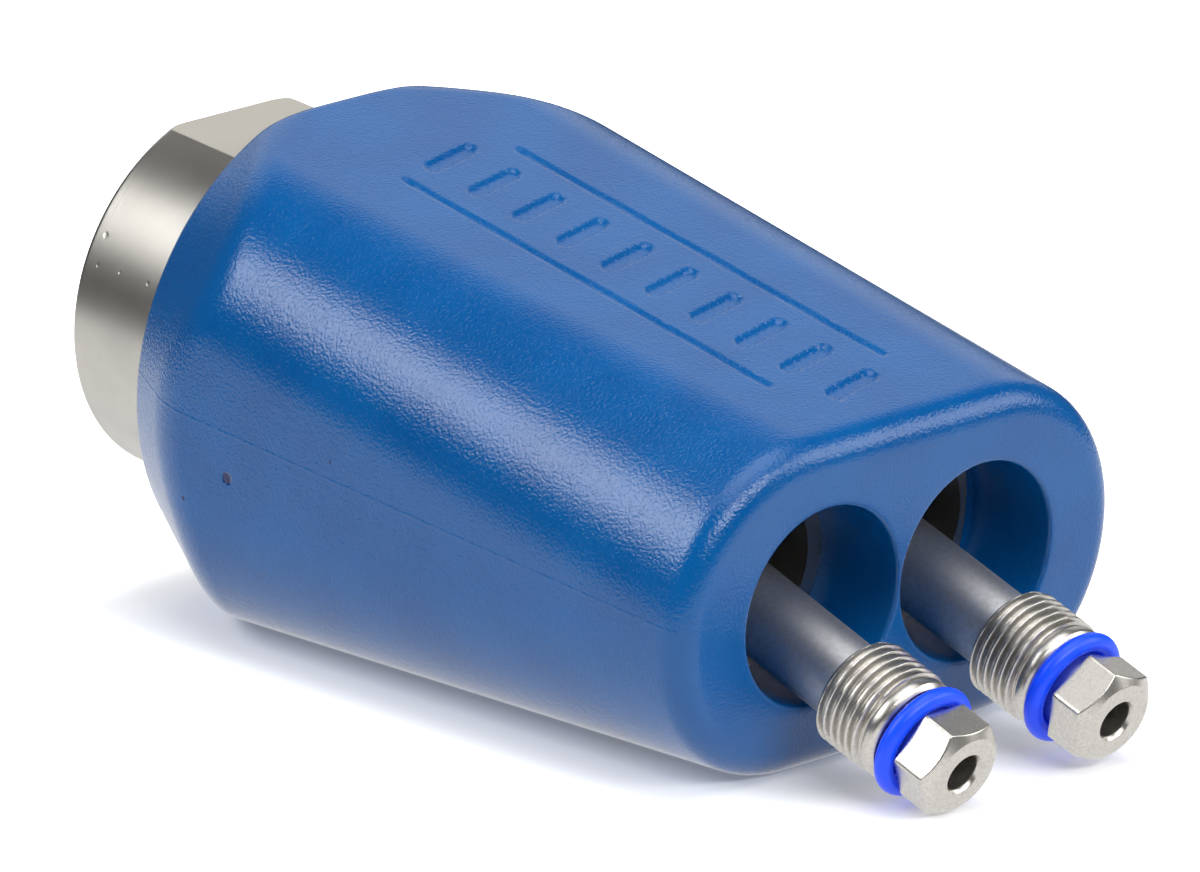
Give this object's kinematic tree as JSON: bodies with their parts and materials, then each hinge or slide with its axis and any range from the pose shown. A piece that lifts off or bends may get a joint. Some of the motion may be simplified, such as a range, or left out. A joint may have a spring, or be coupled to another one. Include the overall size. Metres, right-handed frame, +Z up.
{
  "type": "hydro excavation nozzle head",
  "caption": "Heavy steel jet head in a blue cast sleeve, with a pair of long threaded jet nozzles drawn part way out of their ports.",
  "frame": {"origin": "middle of the bounding box at the level of the surface it lies on", "axes": "+Z up, -Y towards the jets, +X to the right seen from the jets; the tool axis dips 5.2 degrees towards the jets"},
  "size_m": [0.0836, 0.1634, 0.0671],
  "materials": {
    "polyurethane": "blue cast polyurethane, semi gloss with a fine orange peel",
    "stainless_bar": "turned stainless bar, satin",
    "bushing_steel": "turned stainless steel",
    "plate_steel": "turned stainless steel",
    "spring_steel": "rolled spring steel",
    "hard_plate": "lapped hard steel",
    "dowel_steel": "ground",
    "pin_steel": "ground",
    "rotor_steel": "machined stainless steel",
    "bronze": "bearing bronze",
    "seal_rubber": "black seal rubber",
    "nozzle_steel": "machined stainless steel",
    "stem_steel": "polished tube",
    "hard_metal": "sintered hard metal",
    "vane_steel": "thin sheet",
    "blue_seal": "bright blue seal rubber"
  },
  "bodies": {
    "head": {"shroud": "polyurethane", "steel_body": "stainless_bar", "inlet_bushing": "bushing_steel", "swirl_plate": "plate_steel", "spring_washer": "spring_steel", "port_plate": "hard_plate", "plate_dowels": "dowel_steel", "rotor_pin": "pin_steel", "bushing_seal": "seal_rubber", "left_plate_seal": "seal_rubber", "right_plate_seal": "seal_rubber", "left_nozzle": "nozzle_steel", "left_stem": "stem_steel", "left_orifice": "hard_metal", "left_straightener": "vane_steel", "left_o_ring": "blue_seal", "right_nozzle": "nozzle_steel", "right_stem": "stem_steel", "right_orifice": "hard_metal", "right_straightener": "vane_steel", "right_o_ring": "blue_seal"},
    "rotor": {"rotor": "rotor_steel", "rotor_bush": "bronze"}
  },
  "joints": [
    {"name": "rotor_spin", "type": "hinge", "parent": "head", "child": "rotor", "pos_m": [0, 0.03776, 0.03184], "axis": [0, 0.9959, 0.0904], "continuous": true}
  ]
}
